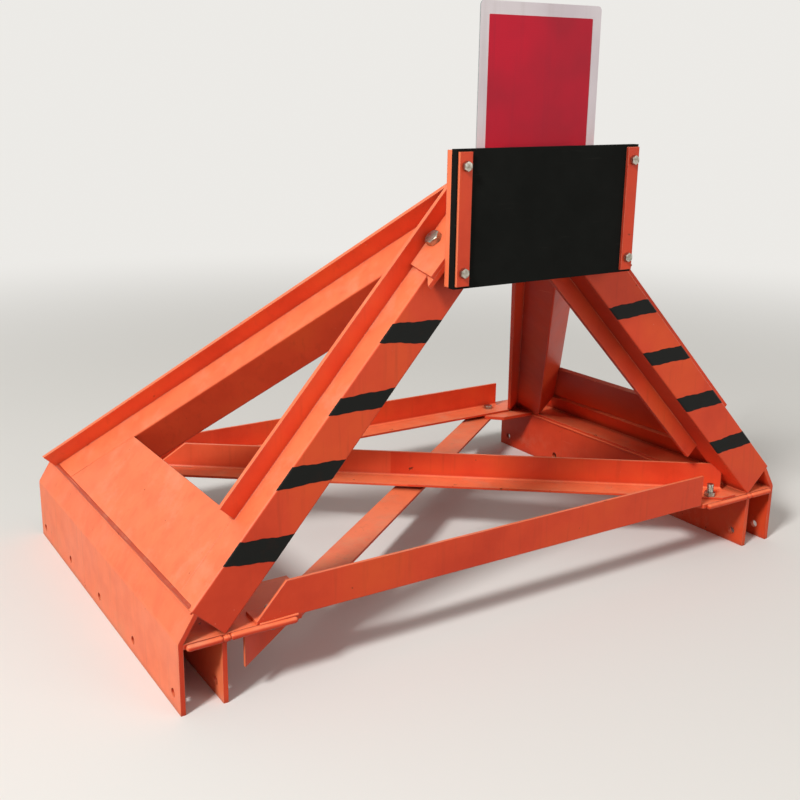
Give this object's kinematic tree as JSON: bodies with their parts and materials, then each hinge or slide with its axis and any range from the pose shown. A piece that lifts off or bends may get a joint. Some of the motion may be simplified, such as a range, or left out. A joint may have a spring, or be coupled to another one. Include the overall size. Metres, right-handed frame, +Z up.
{
  "type": "railway buffer stop",
  "caption": "Fixed railway buffer stop of welded plate: two shoes on the rails, four leaning legs, a rubber-faced head plate, a marker board, and angle ties and braces.",
  "frame": {"origin": "middle of the outline across and along the track, level with the lower edges of the skirts", "axes": "+X across the track to the right, +Y along the track in the direction of the train that is stopped, +Z up"},
  "size_m": [1.6034, 0.992, 1.264],
  "materials": {
    "orange_paint": "satin enamel, weathered",
    "black_rubber": "matt",
    "zinc_steel": "zinc plated",
    "marker_sheet": "reflective red sheet with white edges"
  },
  "bodies": {
    "root": {"outer_skirt_left": "orange_paint", "outer_skirt_right": "orange_paint", "inner_skirt_left": "orange_paint", "inner_skirt_right": "orange_paint", "sole_plate_left": "orange_paint", "sole_plate_right": "orange_paint", "front_gusset_left": "orange_paint", "front_gusset_right": "orange_paint", "rear_gusset_left": "orange_paint", "rear_gusset_right": "orange_paint", "side_plate_left": "orange_paint", "side_plate_right": "orange_paint", "front_leg_left": "orange_paint", "front_leg_right": "orange_paint", "back_leg_left": "orange_paint", "back_leg_right": "orange_paint", "head_gusset_left": "orange_paint", "head_gusset_right": "orange_paint", "cheek_plate_left": "orange_paint", "cheek_plate_right": "orange_paint", "cheek_bolt_left": "zinc_steel", "cheek_bolt_right": "zinc_steel", "clamp_strip_left": "orange_paint", "clamp_strip_right": "orange_paint", "board_packing_left": "orange_paint", "board_packing_right": "orange_paint", "head_plate": "orange_paint", "rubber_pad": "black_rubber", "pad_bolts": "zinc_steel", "marker_board": "marker_sheet", "board_bolts": "zinc_steel", "front_tie": "orange_paint", "rear_beam": "orange_paint", "upper_diagonal": "orange_paint", "lower_diagonal": "orange_paint", "brace_bolts": "zinc_steel"}
  },
  "joints": []
}
